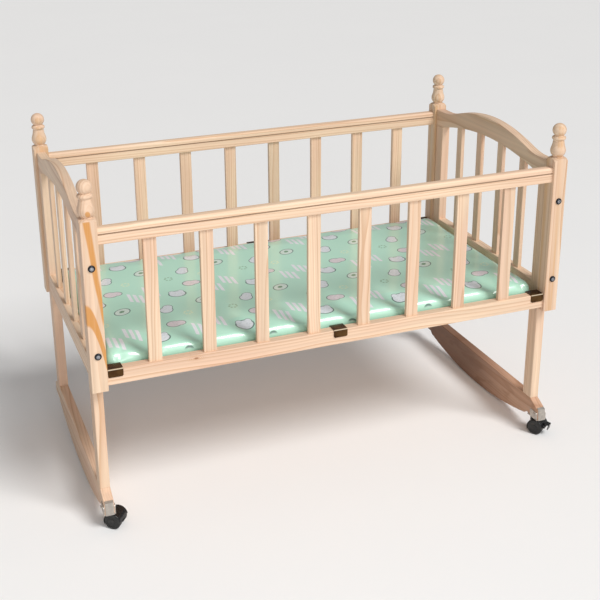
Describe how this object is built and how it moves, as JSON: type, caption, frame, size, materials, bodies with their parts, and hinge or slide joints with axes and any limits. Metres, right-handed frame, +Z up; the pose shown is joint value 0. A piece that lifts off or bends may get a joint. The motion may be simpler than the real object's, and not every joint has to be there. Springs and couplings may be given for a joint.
{
  "type": "baby cradle",
  "caption": "Rocking baby cradle: slatted pine bed with arched ends and turned posts on curved rockers, with a thin mattress, a lift-out base and small casters at the front tips.",
  "frame": {"origin": "on the floor, under the middle of the bed", "axes": "+X along the bed from the left end to the right end, -Y towards the front side with the casters, +Z up"},
  "size_m": [0.908, 0.4999, 0.638],
  "materials": {
    "pine": "bare planed pine, satin",
    "plywood": "bare plywood",
    "mattress_cover": "smooth coated cotton cover, slight sheen",
    "bronzed_steel": "bronze-plated sheet steel, bright",
    "zinc_steel": "zinc-plated steel, satin",
    "dark_steel": "black oxide steel",
    "black_plastic": "black moulded plastic, satin",
    "wheel_plastic": "black moulded plastic, matt"
  },
  "bodies": {
    "frame": {"front_top_rail": "pine", "front_bottom_rail": "pine", "front_slat_1": "pine", "front_slat_2": "pine", "front_slat_3": "pine", "front_slat_4": "pine", "front_slat_5": "pine", "front_slat_6": "pine", "front_slat_7": "pine", "front_slat_8": "pine", "back_top_rail": "pine", "back_bottom_rail": "pine", "back_slat_1": "pine", "back_slat_2": "pine", "back_slat_3": "pine", "back_slat_4": "pine", "back_slat_5": "pine", "back_slat_6": "pine", "back_slat_7": "pine", "back_slat_8": "pine", "front_left_post": "pine", "front_left_leg": "pine", "back_left_post": "pine", "back_left_leg": "pine", "left_arch_rail": "pine", "left_end_rail": "pine", "left_end_slats": "pine", "left_rocker": "pine", "left_caster_saddle": "zinc_steel", "left_caster_stem": "zinc_steel", "front_right_post": "pine", "front_right_leg": "pine", "back_right_post": "pine", "back_right_leg": "pine", "right_arch_rail": "pine", "right_end_rail": "pine", "right_end_slats": "pine", "right_rocker": "pine", "right_caster_saddle": "zinc_steel", "right_caster_stem": "zinc_steel", "frame_bolts": "dark_steel", "threaded_inserts": "zinc_steel", "saddle_screws": "zinc_steel"},
    "bed_base": {"base_board": "plywood", "front_base_hooks": "bronzed_steel", "back_base_hooks": "bronzed_steel", "hook_screws": "zinc_steel"},
    "mattress": {"mattress": "mattress_cover"},
    "left_caster": {"left_caster_hood": "black_plastic", "left_caster_axle": "zinc_steel"},
    "left_inner_wheel": {"left_caster_inner_wheel": "wheel_plastic"},
    "left_outer_wheel": {"left_caster_outer_wheel": "wheel_plastic"},
    "right_caster": {"right_caster_hood": "black_plastic", "right_caster_axle": "zinc_steel"},
    "right_inner_wheel": {"right_caster_inner_wheel": "wheel_plastic"},
    "right_outer_wheel": {"right_caster_outer_wheel": "wheel_plastic"},
    "right_brake": {"right_brake_lever": "black_plastic"}
  },
  "joints": [
    {"name": "base_lift", "type": "slide", "parent": "frame", "child": "bed_base", "axis": [0, 0, 1], "range_m": [0, 0.2]},
    {"name": "mattress_lift", "type": "slide", "parent": "bed_base", "child": "mattress", "axis": [0, 0, 1], "range_m": [0, 0.35]},
    {"name": "left_caster_swivel", "type": "hinge", "parent": "frame", "child": "left_caster", "pos_m": [-0.431, -0.223, 0.024], "axis": [0, 0, 1], "continuous": true},
    {"name": "left_inner_wheel_spin", "type": "hinge", "parent": "left_caster", "child": "left_inner_wheel", "pos_m": [-0.42391, -0.22854, 0.015], "axis": [0.6157, 0.788, 0], "continuous": true},
    {"name": "left_outer_wheel_spin", "type": "hinge", "parent": "left_caster", "child": "left_outer_wheel", "pos_m": [-0.42391, -0.22854, 0.015], "axis": [0.6157, 0.788, 0], "continuous": true},
    {"name": "right_caster_swivel", "type": "hinge", "parent": "frame", "child": "right_caster", "pos_m": [0.431, -0.223, 0.024], "axis": [0, 0, 1], "continuous": true},
    {"name": "right_inner_wheel_spin", "type": "hinge", "parent": "right_caster", "child": "right_inner_wheel", "pos_m": [0.43629, -0.23028, 0.015], "axis": [0.809, 0.5878, 0], "continuous": true},
    {"name": "right_outer_wheel_spin", "type": "hinge", "parent": "right_caster", "child": "right_outer_wheel", "pos_m": [0.43629, -0.23028, 0.015], "axis": [0.809, 0.5878, 0], "continuous": true},
    {"name": "right_brake_press", "type": "hinge", "parent": "right_caster", "child": "right_brake", "pos_m": [0.44746, -0.24565, 0.0223], "axis": [0.809, 0.5878, 0], "range_deg": [0, 8]}
  ]
}
